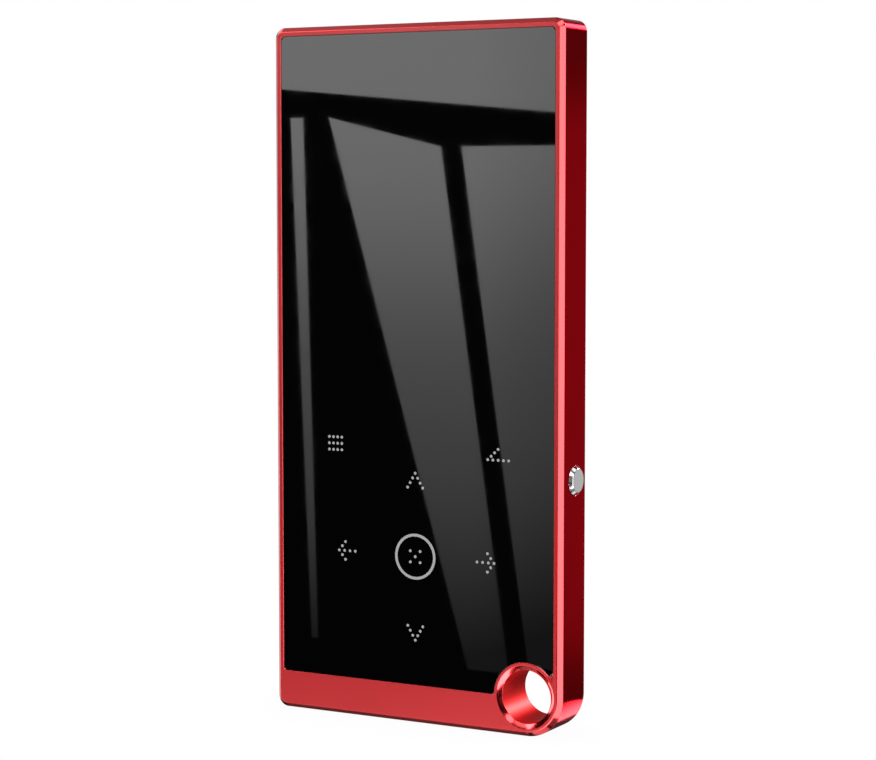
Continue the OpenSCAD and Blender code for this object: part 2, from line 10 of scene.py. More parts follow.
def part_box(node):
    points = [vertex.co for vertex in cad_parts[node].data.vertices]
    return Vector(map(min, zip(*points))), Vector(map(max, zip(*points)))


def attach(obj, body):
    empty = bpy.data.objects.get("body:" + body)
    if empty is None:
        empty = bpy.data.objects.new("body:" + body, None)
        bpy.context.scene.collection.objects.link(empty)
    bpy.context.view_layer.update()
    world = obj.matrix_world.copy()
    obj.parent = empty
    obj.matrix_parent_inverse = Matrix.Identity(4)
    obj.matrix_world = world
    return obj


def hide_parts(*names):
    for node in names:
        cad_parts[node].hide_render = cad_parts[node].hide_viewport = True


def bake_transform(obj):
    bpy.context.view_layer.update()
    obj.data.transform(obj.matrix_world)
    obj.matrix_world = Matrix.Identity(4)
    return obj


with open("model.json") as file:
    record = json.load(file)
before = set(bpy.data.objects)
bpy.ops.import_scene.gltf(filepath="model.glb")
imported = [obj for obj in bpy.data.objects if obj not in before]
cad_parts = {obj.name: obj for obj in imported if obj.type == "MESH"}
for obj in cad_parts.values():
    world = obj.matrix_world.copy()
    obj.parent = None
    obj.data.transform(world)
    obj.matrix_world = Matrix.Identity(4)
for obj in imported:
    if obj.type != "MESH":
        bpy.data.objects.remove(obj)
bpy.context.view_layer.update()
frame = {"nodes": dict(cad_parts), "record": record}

MM = 0.001
BODY = "body"
SLIVER = 0.0000005

# ---------------------------------------------------------------- sizes, in millimetres
frame_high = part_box("frame")[1]
HALF_W = frame_high[0] / MM
HALF_T = frame_high[1] / MM
HEIGHT = frame_high[2] / MM
CORNER_R = 1.5
BEVEL = 0.6
RIM = 1.15
CHIN = 5.1
RING_R = 4.55
HOLE_BEVEL = 0.65
HOLE_BEVEL_DEPTH = 0.38
PANEL_CORNER_R = 0.55
HEEL_R = 0.3
TIP_R = 0.5
PANEL_GAP = 0.05
LEDGE_INSET = 1.4
WALL_INSET = 0.7

mounts = {m["name"]: m for m in frame["record"]["mounts"]}
hole = mounts["lanyard_hole"]
HOLE_X, HOLE_Z = hole["pos_m"][0] / MM, hole["pos_m"][2] / MM
HOLE_R = hole["dims"]["r_mm"]
jack = mounts["headphone_jack"]
JACK_X = jack["pos_m"][0] / MM

glass_low, glass_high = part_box("front_glass")
GLASS_FRONT, GLASS_BACK = glass_low[1] / MM, glass_high[1] / MM
SEAT_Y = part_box("glass_adhesive")[1][1] / MM
LEDGE_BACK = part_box("main_board")[0][1] / MM
COVER_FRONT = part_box("back_cover")[0][1] / MM
SPRING_LOW, SPRING_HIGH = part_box("card_slider_spring")
button_low, button_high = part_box("power_button")
BUTTON_TOP = button_high[0] / MM
BUTTON_Y = (button_low[1] + button_high[1]) / 2 / MM
BUTTON_Z = (button_low[2] + button_high[2]) / 2 / MM
FLANGE_R = (button_high[2] - button_low[2]) / 2 / MM
BUTTON_R = FLANGE_R - 0.6

# Posts and tabs that the screws go into, as (x, z)
COVER_POSTS = [(-18.4, 7.2), (18.4, 12.0), (-18.4, 88.8), (18.4, 88.8)]
PLATE_TABS = [(-18.5, 46.0), (18.5, 46.0), (-18.5, 84.0), (18.5, 84.0)]
BOARD_TABS = [(-18.3, 41.2), (18.3, 41.2), (-17.9, 11.4)]
COVER_POST_R = 1.55
PLATE_TAB_R = 1.3
BOARD_TAB_R = 1.5
THREAD_HOLE_R = 0.72

# Openings in the body
POCKET_BOTTOM, POCKET_TOP = 1.4, 7.0
JACK_POCKET_HALF_W, JACK_POCKET_HALF_T = 3.3, 2.4
PORT_POCKET_HALF_W, PORT_POCKET_HALF_T = 5.0, 1.9
BUTTON_POCKET_R = 2.8
BUTTON_POCKET_INNER = 18.45
BUTTON_HOLE_R = 1.95
JACK_R = 2.65
MIC_X, MIC_Y, MIC_R = -7.1, 0.6, 0.5
PORT_HOLE_W, PORT_HOLE_T = 9.14, 3.4
SOCKET_DEPTH = 2.0

# Speaker grille and countersinks in the back cover
SPEAKER_Z = 83.25
GRILLE_STEP = 2
GRILLE_R = 0.45
GRILLE_EDGE = 0.08
COVER_HOLE_R = 0.8
COUNTERSINK_R = 1.5
COUNTERSINK_DEPTH = 0.6

# Camera, in metres and degrees
CAMERA_PLACE = (0.15025, -0.26824, 0.07013)
CAMERA_TURN = 29.0
CAMERA_DOWN = 4.61
CAMERA_LENS_MM = 95.77


# ---------------------------------------------------------------- camera
def make_camera():
    """A long lens at the player's front right, above its middle and tilted down a little."""
    data = bpy.data.cameras.new("camera")
    data.sensor_width = 36.0
    data.lens = CAMERA_LENS_MM
    data.clip_start = 0.01
    data.clip_end = 20.0
    cam = bpy.data.objects.new("camera", data)
    bpy.context.scene.collection.objects.link(cam)
    cam.location = CAMERA_PLACE
    cam.rotation_euler = (math.radians(90 - CAMERA_DOWN), 0.0, math.radians(CAMERA_TURN))
    bpy.context.scene.camera = cam
    return cam


camera = make_camera()


# ---------------------------------------------------------------- outlines in the front plane, as (x, z)
def arc(x, z, r, start, end, steps, ends=True):
    """Points of an arc in degrees; ends=False leaves the first and the last out."""
    span = range(steps + 1) if ends else range(1, steps)
    turns = [math.radians(start + (end - start) * i / steps) for i in span]
    return [(x + r * math.cos(t), z + r * math.sin(t)) for t in turns]


def body_outline(inset):
    """The body's outline, moved inwards: three small corners and one round the lanyard hole."""
    r = CORNER_R - inset
    far = HALF_W - CORNER_R
    return (
        arc(-far, CORNER_R, r, 180, 270, 16)
        + arc(HOLE_X, HOLE_Z, HALF_W - HOLE_X - inset, 270, 360, 36)
        + arc(far, HEIGHT - CORNER_R, r, 0, 90, 16)
        + arc(-far, HEIGHT - CORNER_R, r, 90, 180, 16)
    )


def panel_outline(inset):
    """The glass's outline, moved inwards: a rounded rectangle that goes round the hole's ring."""
    side = HALF_W - RIM - inset
    bottom = CHIN + inset
    top = HEIGHT - RIM - inset
    r = max(PANEL_CORNER_R - inset, 0.2)
    ring = RING_R + inset
    heel_z = bottom + HEEL_R
    heel_x = HOLE_X - math.sqrt((ring + HEEL_R) ** 2 - (heel_z - HOLE_Z) ** 2)
    tip_x = side - TIP_R
    tip_z = HOLE_Z + math.sqrt((ring + TIP_R) ** 2 - (tip_x - HOLE_X) ** 2)
    heel_turn = math.degrees(math.atan2(heel_z - HOLE_Z, heel_x - HOLE_X))
    tip_turn = math.degrees(math.atan2(tip_z - HOLE_Z, tip_x - HOLE_X))
    return (
        arc(-side + r, bottom + r, r, 180, 270, 12)
        + arc(heel_x, heel_z, HEEL_R, 270, heel_turn + 180, 8)
        + arc(HOLE_X, HOLE_Z, ring, heel_turn, tip_turn, 72, ends=False)
        + arc(tip_x, tip_z, TIP_R, tip_turn + 180, 360, 12)
        + arc(side - r, top - r, r, 0, 90, 12)
        + arc(-side + r, top - r, r, 90, 180, 12)
    )


def circle_outline(x, z, r, steps=96):
    return arc(x, z, r, 0, 360, steps)[:-1]


def rounded_profile(corners, radii, steps=5):
    """A polyline through the corners, each inner corner rounded with its own radius."""
    points = [corners[0]]
    for i in range(1, len(corners) - 1):
        here = Vector(corners[i])
        back = (Vector(corners[i - 1]) - here).normalized()
        ahead = (Vector(corners[i + 1]) - here).normalized()
        radius = radii[i - 1]
        if radius == 0:
            points.append(tuple(here))
            continue
        half = math.acos(max(-1.0, min(1.0, back.dot(ahead)))) / 2
        reach = radius / math.tan(half)
        centre = here + (back + ahead).normalized() * (radius / math.sin(half))
        first = here + back * reach - centre
        last = here + ahead * reach - centre
        for k in range(steps + 1):
            points.append(tuple(centre + first.slerp(last, k / steps).normalized() * radius))
    return points + [corners[-1]]


# ---------------------------------------------------------------- mesh building
def add_loop(bm, outline, y):
    return [bm.verts.new((x * MM, y * MM, z * MM)) for x, z in outline]


def bridge(bm, near, far, material=0):
    count = len(near)
    for i in range(count):
        j = (i + 1) % count
        face = bm.faces.new((near[i], near[j], far[j], far[i]))
        face.material_index = material


def bridge_all(bm, loops, materials):
    for near, far, material in zip(loops, loops[1:], materials):
        bridge(bm, near, far, material)


def edges_of(bm, loop):
    count = len(loop)
    found = [bm.edges.get((loop[i], loop[(i + 1) % count])) for i in range(count)]
    return [e or bm.edges.new((loop[i], loop[(i + 1) % count])) for i, e in enumerate(found)]


def fill_between(bm, loops, material=0):
    """Fills the flat area inside the first loop and outside the others."""
    edges = [e for loop in loops for e in edges_of(bm, loop)]
    made = bmesh.ops.triangle_fill(bm, use_beauty=True, use_dissolve=False, edges=edges)
    for item in made["geom"]:
        if isinstance(item, bmesh.types.BMFace):
            item.material_index = material


def to_object(bm, name):
    bmesh.ops.recalc_face_normals(bm, faces=bm.faces)
    mesh = bpy.data.meshes.new(name)
    bm.to_mesh(mesh)
    bm.free()
    piece = bpy.data.objects.new(name, mesh)
    bpy.context.scene.collection.objects.link(piece)
    return piece


def finish_surface(piece, sharp_degrees=24):
    """Removes the slivers that cuts leave, then shades smoothly, with edges crisp and flat faces flat."""
    mesh = piece.data
    bm = bmesh.new()
    bm.from_mesh(mesh)
    bmesh.ops.remove_doubles(bm, verts=bm.verts, dist=SLIVER)
    bmesh.ops.dissolve_degenerate(bm, edges=bm.edges, dist=SLIVER)
    bm.to_mesh(mesh)
    bm.free()
    mesh.shade_smooth()
    mesh.set_sharp_from_angle(angle=math.radians(sharp_degrees))
    weighted = piece.modifiers.new("even_normals", "WEIGHTED_NORMAL")
    weighted.keep_sharp = True
    weighted.weight = 100


def lathe(name, profile, steps=96):
    """Turns a closed (radius, height) profile about the Z axis; its first and last points are on the axis."""
    bm = bmesh.new()
    ends = [bm.verts.new((0, 0, profile[0][1] * MM)), bm.verts.new((0, 0, profile[-1][1] * MM))]
    loops = []
    for r, h in profile[1:-1]:
        turns = [2 * math.pi * k / steps for k in range(steps)]
        loops.append([bm.verts.new((r * MM * math.cos(t), r * MM * math.sin(t), h * MM)) for t in turns])
    for near, far in zip(loops, loops[1:]):
        bridge(bm, near, far)
    for end, loop in ((ends[0], loops[0]), (ends[1], loops[-1])):
        for k in range(steps):
            bm.faces.new((end, loop[k], loop[(k + 1) % steps]))
    return to_object(bm, name)


ALONG_X = Matrix.Rotation(math.radians(90), 4, "Y")
ALONG_Y = Matrix.Rotation(math.radians(-90), 4, "X")


def place(piece, x, y, z, turn=None):
    """Turns a lathed piece and moves it, in millimetres, into its mesh."""
    matrix = Matrix.Translation((x * MM, y * MM, z * MM))
    piece.data.transform(matrix @ turn if turn else matrix)
    return piece


def rod(x, y, z, profile, turn=None, steps=48):
    return place(lathe("cutter", profile, steps), x, y, z, turn)


def plain_rod(r, start, end):
    return [(0, start), (r, start), (r, end), (0, end)]


def block(low, high):
    bm = bmesh.new()
    bmesh.ops.create_cube(bm, size=1.0)
    size = [(b - a) * MM for a, b in zip(low, high)]
    middle = [(a + b) / 2 * MM for a, b in zip(low, high)]
    bmesh.ops.scale(bm, vec=size, verts=bm.verts)
    bmesh.ops.translate(bm, vec=middle, verts=bm.verts)
    return to_object(bm, "cutter")


def slot_block(w, t, start, end):
    """A slot-shaped prism along Z."""
    reach = (w - t) / 2
    outline = arc(reach, 0, t / 2, -90, 90, 16) + arc(-reach, 0, t / 2, 90, 270, 16)
    bm = bmesh.new()
    loops = [[bm.verts.new((x * MM, y * MM, z * MM)) for x, y in outline] for z in (start, end)]
    bridge(bm, *loops)
    for loop in loops:
        fill_between(bm, [loop])
    return to_object(bm, "cutter")


def join(pieces):
    bm = bmesh.new()
    for piece in pieces:
        bm.from_mesh(piece.data)
        bpy.data.objects.remove(piece)
    return to_object(bm, "cutter")


def boolean(piece, others, operation, material=0):
    """Cuts the joined others out of the piece, or adds them to it, and keeps the result."""
    tool = join(others)
    for face in tool.data.polygons:
        face.material_index = material
    step = piece.modifiers.new("step", "BOOLEAN")
    step.operation = operation
    step.object = tool
    step.solver = "EXACT"
    bpy.context.view_layer.update()
    graph = bpy.context.evaluated_depsgraph_get()
    result = bpy.data.meshes.new_from_object(piece.evaluated_get(graph))
    piece.modifiers.remove(step)
    old = piece.data
    piece.data = result
    result.name = piece.name
    bpy.data.meshes.remove(old)
    bpy.data.objects.remove(tool)


# ---------------------------------------------------------------- the metal body
SATIN, POLISHED, SIDE, BORE = 0, 1, 2, 3


def build_body():
    """One closed shell: rims, rounded bevels, sides, the lanyard hole, the seats and the inner walls."""
    bm = bmesh.new()
    skin = rounded_profile(
        [
            (BEVEL + 0.4, -HALF_T),
            (BEVEL, -HALF_T),
            (0, -HALF_T + BEVEL),
            (0, HALF_T - BEVEL),
            (BEVEL, HALF_T),
            (BEVEL + 0.4, HALF_T),
        ],
        [0.14, 0.1, 0.1, 0.14],
    )[1:-1]
    skin_loops = [add_loop(bm, body_outline(inset), y) for inset, y in skin]
    polish = [SIDE if abs(a[1] - b[1]) > HALF_T else POLISHED for a, b in zip(skin, skin[1:])]
    bridge_all(bm, skin_loops, polish)

    bore = rounded_profile(
        [
            (HOLE_R + HOLE_BEVEL + 0.2, -HALF_T),
            (HOLE_R + HOLE_BEVEL, -HALF_T),
            (HOLE_R, -HALF_T + HOLE_BEVEL_DEPTH),
            (HOLE_R, HALF_T - HOLE_BEVEL_DEPTH),
            (HOLE_R + HOLE_BEVEL, HALF_T),
            (HOLE_R + HOLE_BEVEL + 0.2, HALF_T),
        ],
        [0.1, 0.1, 0.1, 0.1],
        steps=4,
    )[1:-1]
    bore_loops = [add_loop(bm, circle_outline(HOLE_X, HOLE_Z, r), y) for r, y in bore]
    wall = [BORE if abs(a[1] - b[1]) > HALF_T else POLISHED for a, b in zip(bore, bore[1:])]
    bridge_all(bm, bore_loops, wall)

    edge = 0.05
    inner = [
        (-edge, -HALF_T),
        (0, -HALF_T + edge),
        (0, SEAT_Y),
        (LEDGE_INSET, SEAT_Y),
        (LEDGE_INSET, LEDGE_BACK),
        (WALL_INSET, LEDGE_BACK),
        (WALL_INSET, COVER_FRONT),
        (0, COVER_FRONT),
        (0, HALF_T - edge),
        (-edge, HALF_T),
    ]
    inner_loops = [add_loop(bm, panel_outline(inset), y) for inset, y in inner]
    bridge_all(bm, inner_loops, [SATIN] * len(inner))

    fill_between(bm, [skin_loops[0], bore_loops[0], inner_loops[0]], SATIN)
    fill_between(bm, [skin_loops[-1], bore_loops[-1], inner_loops[-1]], SATIN)
    piece = to_object(bm, "body_shell")
    paint(piece, "anodised_satin", "anodised_polished", "anodised_side", "anodised_bore")

    posts = [rod(x, 0, z, plain_rod(COVER_POST_R, LEDGE_BACK, COVER_FRONT), ALONG_Y) for x, z in COVER_POSTS]
    posts += [rod(x, 0, z, plain_rod(PLATE_TAB_R, SEAT_Y, LEDGE_BACK), ALONG_Y) for x, z in PLATE_TABS]
    posts += [rod(x, 0, z, plain_rod(BOARD_TAB_R, SEAT_Y, LEDGE_BACK), ALONG_Y) for x, z in BOARD_TABS]
    boolean(piece, posts, "UNION")

    wall = HALF_W - RIM - WALL_INSET
    pockets = [
        block(
            (JACK_X - JACK_POCKET_HALF_W, -JACK_POCKET_HALF_T, POCKET_BOTTOM),
            (JACK_X + JACK_POCKET_HALF_W, JACK_POCKET_HALF_T, POCKET_TOP),
        ),
        block(
            (-PORT_POCKET_HALF_W, -PORT_POCKET_HALF_T, POCKET_BOTTOM),
            (PORT_POCKET_HALF_W, PORT_POCKET_HALF_T, POCKET_TOP),
        ),
        rod(0, BUTTON_Y, BUTTON_Z, plain_rod(BUTTON_POCKET_R, BUTTON_POCKET_INNER, wall), ALONG_X),
    ]
    boolean(piece, pockets, "DIFFERENCE")

    edge = 0.15
    jack_cut = [
        (0, -1),
        (JACK_R + edge + 1, -1),
        (JACK_R, edge),
        (JACK_R, SOCKET_DEPTH),
        (0, SOCKET_DEPTH),
    ]
    mic_cut = [(0, -1), (MIC_R + 1.1, -1), (MIC_R, 0.1), (MIC_R, POCKET_TOP), (0, POCKET_TOP)]
    button_cut = [
        (0, wall - 0.5),
        (BUTTON_HOLE_R, wall - 0.5),
        (BUTTON_HOLE_R, HALF_W - 0.05),
        (BUTTON_HOLE_R + 1.05, HALF_W + 1),
        (0, HALF_W + 1),
    ]
    holes = [
        rod(JACK_X, 0, 0, jack_cut),
        slot_block(PORT_HOLE_W, PORT_HOLE_T, -1, SOCKET_DEPTH),
        rod(MIC_X, MIC_Y, 0, mic_cut, steps=24),
        rod(0, BUTTON_Y, BUTTON_Z, button_cut, ALONG_X, 96),
        block((-HALF_W - 1, 0.3, 22.2), (-18.45, 1.7, 33.8)),
    ]
    post_thread = plain_rod(THREAD_HOLE_R, 0.4, COVER_FRONT + 0.2)
    holes += [rod(x, 0, z, post_thread, ALONG_Y, 24) for x, z in COVER_POSTS]
    tab_thread = plain_rod(THREAD_HOLE_R, -2.3, LEDGE_BACK + 0.2)
    holes += [rod(x, 0, z, tab_thread, ALONG_Y, 24) for x, z in PLATE_TABS + BOARD_TABS]
    boolean(piece, holes, "DIFFERENCE", POLISHED)
    return piece


def build_plate(name, y_front, y_back, front_edge, back_edge):
    """A thin plate with the panel's outline and small bevels at its edges."""
    bm = bmesh.new()
    profile = rounded_profile(
        [
            (PANEL_GAP + front_edge + 0.2, y_front),
            (PANEL_GAP + front_edge, y_front),
            (PANEL_GAP, y_front + front_edge),
            (PANEL_GAP, y_back - back_edge),
            (PANEL_GAP + back_edge, y_back),
            (PANEL_GAP + back_edge + 0.2, y_back),
        ],
        [front_edge * 0.6, front_edge * 0.6, back_edge * 0.6, back_edge * 0.6],
        steps=4,
    )[1:-1]
    loops = [add_loop(bm, panel_outline(inset), y) for inset, y in profile]
    bridge_all(bm, loops, [0] * len(loops))
    fill_between(bm, [loops[0]])
    fill_between(bm, [loops[-1]])
    return to_object(bm, name)


def build_back_cover():
    piece = build_plate("back_plate", COVER_FRONT, HALF_T, 0.05, 0.12)
    paint(piece, "anodised_satin", "anodised_polished")
    screw_cut = [
        (0, COVER_FRONT - 1),
        (COVER_HOLE_R, COVER_FRONT - 1),
        (COVER_HOLE_R, HALF_T - COUNTERSINK_DEPTH),
        (COUNTERSINK_R + 0.9, HALF_T + 0.9),
        (0, HALF_T + 0.9),
    ]
    cuts = [rod(x, 0, z, screw_cut, ALONG_Y) for x, z in COVER_POSTS]
    grille_cut = [
        (0, COVER_FRONT - 1),
        (GRILLE_R, COVER_FRONT - 1),
        (GRILLE_R, HALF_T - GRILLE_EDGE),
        (GRILLE_R + 1 + GRILLE_EDGE, HALF_T + 1),
        (0, HALF_T + 1),
    ]
    for column in range(-5, 6, GRILLE_STEP):
        for row in (-1, 0, 1):
            cuts.append(rod(column, 0, SPEAKER_Z + GRILLE_STEP * row, grille_cut, ALONG_Y, 24))
    boolean(piece, cuts, "DIFFERENCE", POLISHED)
    return piece


def build_button():
    """Turned cap: a coned flank, a softly rounded rim and a very slightly domed face."""
    flange_front = HALF_W - RIM - WALL_INSET - PANEL_GAP
    face_r = BUTTON_R - 0.33
    sag = 0.04
    dome = [(r, BUTTON_TOP - sag * (r / face_r) ** 2) for r in (0, 0.3, 0.6, 0.9, 1.2, face_r)]
    profile = rounded_profile(
        [
            (0, 17.8),
            (1.1, 17.8),
            (1.1, HALF_W - 2.4),
            (FLANGE_R, HALF_W - 2.4),
            (FLANGE_R, flange_front),
            (BUTTON_R, flange_front),
            (BUTTON_R, BUTTON_TOP - 0.52),
            dome[-1],
            dome[-2],
        ],
        [0.1, 0.05, 0.1, 0.05, 0.02, 0.12, 0.14],
        steps=6,
    )
    profile += list(reversed(dome[:-2]))
    return place(lathe("button_cap", profile), 0, BUTTON_Y, BUTTON_Z, ALONG_X)


def build_spring():
    """The card slider's coil spring, wound along X from the slider to the end of its pocket."""
    wire_r = 0.09
    turns, per_turn, sides = 6, 24, 10
    coil_r = (SPRING_HIGH[1] - SPRING_LOW[1]) / 2 / MM - wire_r
    middle_y = (SPRING_HIGH[1] + SPRING_LOW[1]) / 2 / MM
    middle_z = (SPRING_HIGH[2] + SPRING_LOW[2]) / 2 / MM
    first = SPRING_LOW[0] / MM + wire_r
    length = (SPRING_HIGH[0] - SPRING_LOW[0]) / MM - 2 * wire_r
    bm = bmesh.new()
    loops = []
    for i in range(turns * per_turn + 1):
        around = 2 * math.pi * i / per_turn
        x = first + length * i / (turns * per_turn)
        loop = []
        for k in range(sides):
            side = 2 * math.pi * k / sides
            r = coil_r + wire_r * math.cos(side)
            y = middle_y + r * math.cos(around)
            z = middle_z + r * math.sin(around)
            loop.append(bm.verts.new(Vector((x + wire_r * math.sin(side), y, z)) * MM))
        loops.append(loop)
    for near, far in zip(loops, loops[1:]):
        bridge(bm, near, far)
    bm.faces.new(loops[0])
    bm.faces.new(loops[-1])
    return to_object(bm, "slider_coil")


# ---------------------------------------------------------------- materials
def new_material(name):
    material = bpy.data.materials.new(name)
    material.use_nodes = True
    tree = material.node_tree
    return material, tree, tree.nodes["Principled BSDF"]


def noise(tree, scale, detail=2.0, stretch=(1, 1, 1)):
    """Noise in the object's own space; scale is in cycles per metre."""
    coords = tree.nodes.new("ShaderNodeTexCoord")
    mapping = tree.nodes.new("ShaderNodeMapping")
    mapping.inputs["Scale"].default_value = stretch
    texture = tree.nodes.new("ShaderNodeTexNoise")
    texture.inputs["Scale"].default_value = scale
    texture.inputs["Detail"].default_value = detail
    tree.links.new(coords.outputs["Object"], mapping.inputs["Vector"])
    tree.links.new(mapping.outputs["Vector"], texture.inputs["Vector"])
    return texture.outputs["Fac"]


def spread(tree, value, low, high):
    """Maps noise around its middle to low to high."""
    step = tree.nodes.new("ShaderNodeMapRange")
    step.inputs["From Min"].default_value = 0.3
    step.inputs["From Max"].default_value = 0.7
    step.inputs["To Min"].default_value = low
    step.inputs["To Max"].default_value = high
    tree.links.new(value, step.inputs["Value"])
    return step.outputs["Result"]


def two_tone(tree, value, dark, light):
    mix = tree.nodes.new("ShaderNodeMix")
    mix.data_type = "RGBA"
    mix.inputs["A"].default_value = (*dark, 1)
    mix.inputs["B"].default_value = (*light, 1)
    tree.links.new(value, mix.inputs["Factor"])
    return mix.outputs["Result"]


def bump(tree, shader, height, strength, distance):
    step = tree.nodes.new("ShaderNodeBump")
    step.inputs["Strength"].default_value = strength
    step.inputs["Distance"].default_value = distance
    tree.links.new(height, step.inputs["Height"])
    tree.links.new(step.outputs["Normal"], shader.inputs["Normal"])


def ramp(tree, value, low, high, stops):
    """A smooth curve from the value's range low to high, through the stops (place, level)."""
    scaled = tree.nodes.new("ShaderNodeMapRange")
    scaled.inputs["From Min"].default_value = low
    scaled.inputs["From Max"].default_value = high
    curve = tree.nodes.new("ShaderNodeValToRGB")
    curve.color_ramp.interpolation = "B_SPLINE"
    for i, (at, level) in enumerate(stops):
        stop = curve.color_ramp.elements[i] if i < 2 else curve.color_ramp.elements.new(at)
        stop.position = at
        stop.color = (level, level, level, 1)
    tree.links.new(value, scaled.inputs["Value"])
    tree.links.new(scaled.outputs["Result"], curve.inputs["Fac"])
    return curve.outputs["Color"]


def arithmetic(tree, operation, first, second):
    step = tree.nodes.new("ShaderNodeMath")
    step.operation = operation
    tree.links.new(first, step.inputs[0])
    if isinstance(second, float):
        step.inputs[1].default_value = second
    else:
        tree.links.new(second, step.inputs[1])
    return step.outputs["Value"]


def surface(
    name,
    dark,
    light,
    rough,
    metallic=0.0,
    grain=2000,
    grain_bump=0.1,
    grain_depth=0.00001,
    stretch=(1, 1, 1),
    tone_scale=150,
    **fixed,
):
    """A material with a slow change of tone, a fine grain in roughness and in relief."""
    material, tree, shader = new_material(name)
    tone = noise(tree, tone_scale, 3.0)
    fine = noise(tree, grain, 2.0, stretch)
    tree.links.new(two_tone(tree, tone, dark, light), shader.inputs["Base Color"])
    tree.links.new(spread(tree, fine, *rough), shader.inputs["Roughness"])
    bump(tree, shader, fine, grain_bump, grain_depth)
    shader.inputs["Metallic"].default_value = metallic
    for key, value in fixed.items():
        shader.inputs[key.replace("_", " ")].default_value = value
    return material


def anodised_satin():
    """Fine-blasted faces of the body under a clear seal."""
    return surface(
        "anodised_satin", (0.62, 0.021, 0.026), (0.68, 0.026, 0.031), (0.32, 0.38), 1.0, 9000, 0.15, 0.000004,
        Coat_Weight=0.8, Coat_Roughness=0.2, Coat_IOR=1.7,
    )


def anodised_polished():
    """Bevels cut with a diamond tool, then anodised."""
    return surface(
        "anodised_polished", (0.68, 0.024, 0.028), (0.74, 0.028, 0.034), (0.14, 0.18),
        1.0, 5000, 0.04, 0.000004,
        Coat_Weight=0.8, Coat_Roughness=0.1,
    )


def anodised_side():
    """The narrow sides: the body's red anodising with painted shade in its darkened base colour, smoother
    than the front.
    """
    return surface(
        # painted shade: the base colour is about half the front's, so the sides render dark
        "anodised_side", (0.34, 0.001, 0.003), (0.38, 0.0015, 0.004), (0.14, 0.19), 1.0, 9000, 0.08, 0.000003,
        Specular_Tint=(1.0, 0.52, 0.54, 1),
    )


def anodised_bore():
    """The lanyard hole's wall, bored and left a little dull."""
    return surface(
        "anodised_bore", (0.70, 0.003, 0.005), (0.76, 0.004, 0.007), (0.48, 0.52), 1.0, 5000, 0.04, 0.000004,
        Coat_Weight=0.4, Coat_Roughness=0.42, Specular_Tint=(1.0, 0.42, 0.44, 1),
    )


def polished_metal():
    return surface(
        "polished_metal", (0.86, 0.86, 0.85), (0.92, 0.92, 0.92), (0.13, 0.17), 1.0, 6000, 0.02, 0.000003,
    )


def black_glass():
    """Glass printed black on its back, with the faint unevenness of a wiped surface."""
    return surface(
        "black_glass", (0.0003, 0.0003, 0.0004), (0.0005, 0.0005, 0.0005), (0.012, 0.022), 0.0, 400, 0.0, 0.0,
        IOR=1.5, Specular_IOR_Level=1.0,
    )


def symbol_ink():
    """Translucent grey ink, lit a little from behind."""
    return surface(
        "symbol_ink", (0.15, 0.15, 0.15), (0.18, 0.18, 0.18), (0.5, 0.6), 0.0, 8000, 0.05, 0.000002,
        Emission_Color=(0.8, 0.8, 0.82, 1), Emission_Strength=0.1,
    )


def black_foam():
    return surface(
        "black_foam", (0.015, 0.015, 0.015), (0.04, 0.04, 0.04), (0.85, 0.95), 0.0, 12000, 0.6, 0.00002,
    )


def clear_film():
    return surface(
        "clear_film", (0.75, 0.80, 0.82), (0.82, 0.86, 0.87), (0.1, 0.2), 0.0, 2500, 0.1, 0.000005,
        Transmission_Weight=0.8, IOR=1.48,
    )


def amber_film():
    """Polyimide film over copper tracks."""
    return tracks("amber_film", (0.45, 0.19, 0.03), (0.62, 0.33, 0.07), (0.3, 0.4), 1400, 0.3)


def display_glass():
    return surface(
        "display_glass", (0.02, 0.025, 0.03), (0.035, 0.04, 0.05), (0.04, 0.08), 0.0, 1500, 0.02, 0.000002,
    )


def white_plastic():
    return surface(
        "white_plastic", (0.78, 0.78, 0.76), (0.86, 0.86, 0.84), (0.4, 0.55), 0.0, 6000, 0.1, 0.000005,
    )


def ivory_plastic():
    return surface(
        "ivory_plastic", (0.70, 0.65, 0.52), (0.80, 0.76, 0.64), (0.4, 0.55), 0.0, 6000, 0.1, 0.000005,
    )


def clear_plastic():
    return surface(
        "clear_plastic", (0.80, 0.84, 0.86), (0.88, 0.90, 0.92), (0.35, 0.5), 0.0, 6000, 0.2, 0.000005,
        Transmission_Weight=0.7, IOR=1.49,
    )


def sheet_steel():
    """Cold-rolled sheet, with the rolling marks along Z."""
    return surface(
        "sheet_steel", (0.52, 0.52, 0.53), (0.63, 0.63, 0.64), (0.22, 0.4), 1.0, 3000, 0.2, 0.000004,
        stretch=(6, 6, 0.3),
    )


def screw_steel():
    """Turned and zinc-coated steel."""
    return surface(
        "screw_steel", (0.36, 0.37, 0.39), (0.50, 0.51, 0.53), (0.25, 0.42), 1.0, 9000, 0.3, 0.000004,
    )


def circuit_board():
    """Green solder mask over copper tracks."""
    return tracks("circuit_board", (0.008, 0.07, 0.028), (0.02, 0.15, 0.06), (0.25, 0.4), 900, 0.5)


def chip_plastic():
    return surface(
        "chip_plastic", (0.02, 0.02, 0.022), (0.045, 0.045, 0.05), (0.55, 0.7), 0.0, 14000, 0.3, 0.000006,
    )


def ceramic():
    return surface("ceramic", (0.36, 0.26, 0.16), (0.52, 0.40, 0.27), (0.4, 0.6), 0.0, 9000, 0.2, 0.000006)


def black_plastic():
    return surface(
        "black_plastic", (0.012, 0.012, 0.013), (0.03, 0.03, 0.032), (0.4, 0.55), 0.0, 9000, 0.3, 0.000006,
    )


def gold_plate():
    return surface(
        "gold_plate", (0.78, 0.54, 0.18), (0.88, 0.66, 0.28), (0.15, 0.3), 1.0, 8000, 0.1, 0.000003,
    )


def diaphragm_film():
    return surface(
        "diaphragm_film", (0.42, 0.39, 0.33), (0.54, 0.51, 0.44), (0.3, 0.5), 0.0, 3000, 0.3, 0.00001,
    )


